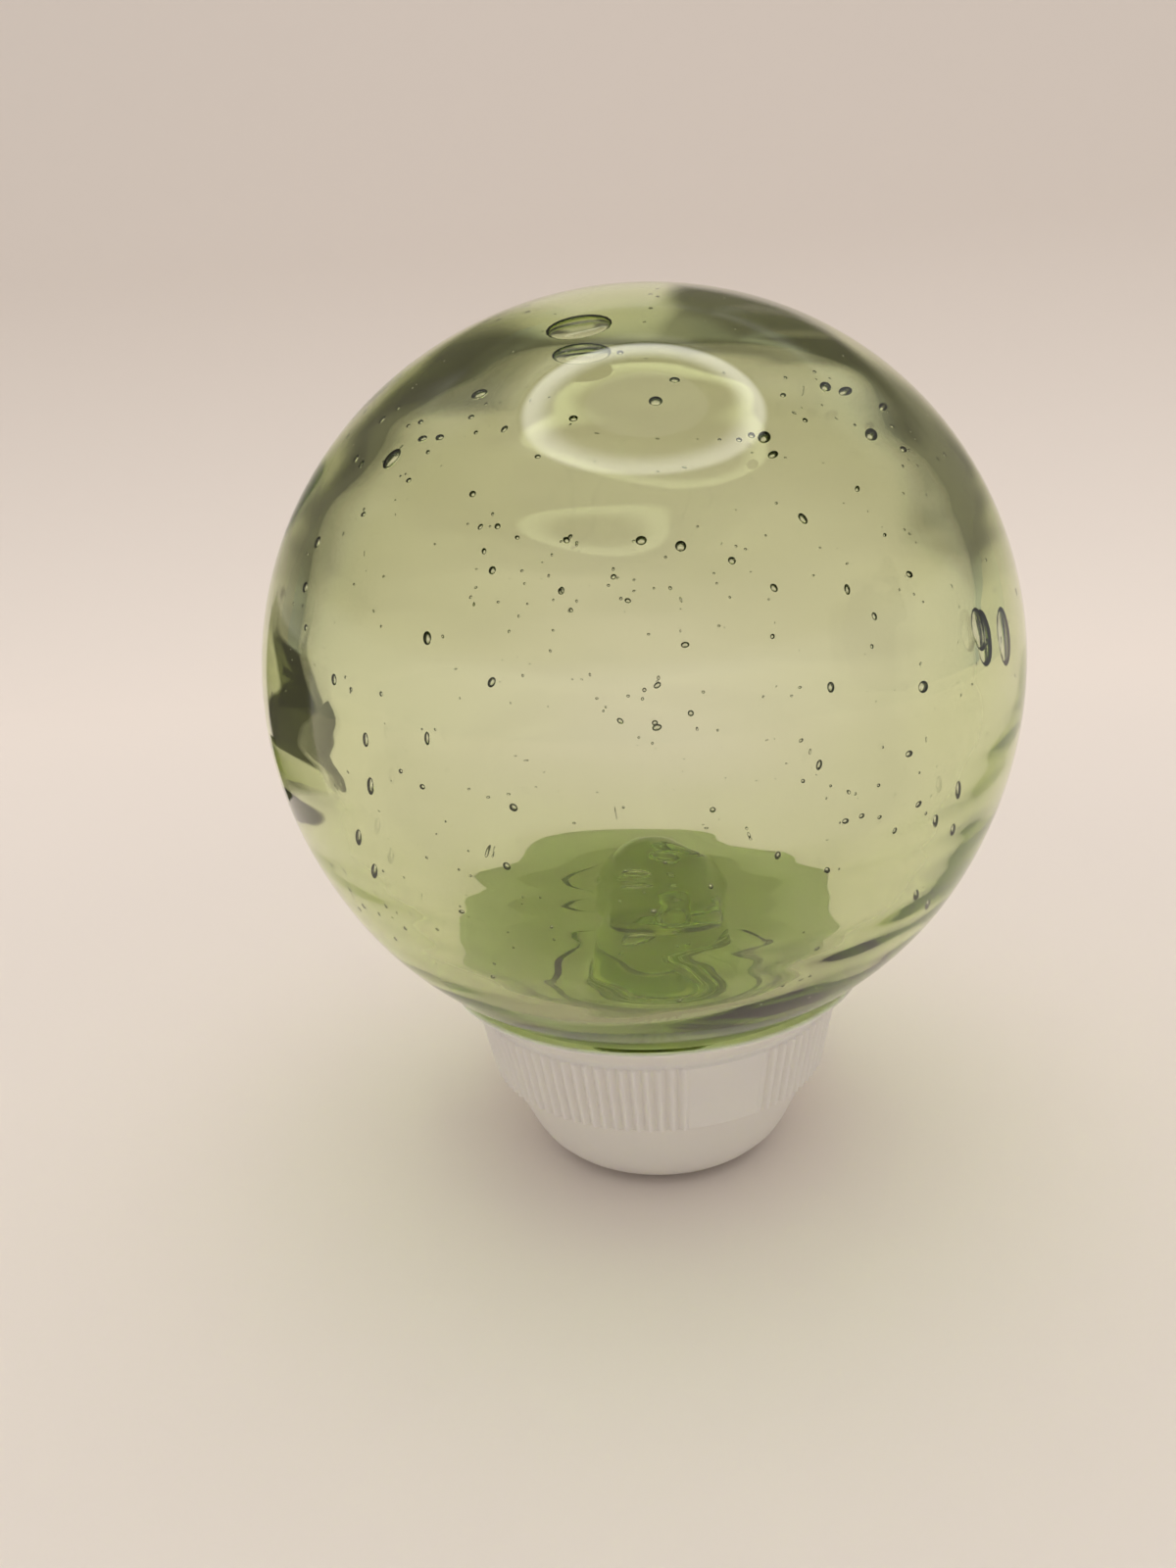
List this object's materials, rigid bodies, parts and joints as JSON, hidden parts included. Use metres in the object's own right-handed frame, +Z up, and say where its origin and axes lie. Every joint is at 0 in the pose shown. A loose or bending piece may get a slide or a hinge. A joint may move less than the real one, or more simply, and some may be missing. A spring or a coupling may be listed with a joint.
{
  "type": "glass fishing float",
  "caption": "Round hand-blown glass float ball resting in the mouth of an upturned ribbed screw cap that serves as its stand.",
  "frame": {"origin": "centre of the cap's flat foot, on the floor", "axes": "+Z up along the axis of the cap, -Y the front, +X to the right seen from the front"},
  "size_m": [0.0639, 0.0638, 0.0762],
  "materials": {
    "white_plastic": "smooth moulded, slightly soft sheen",
    "green_glass": "clear olive-green blown glass with bubbles"
  },
  "bodies": {
    "root": {"stand_cap": "white_plastic", "glass_float": "green_glass"}
  },
  "joints": []
}
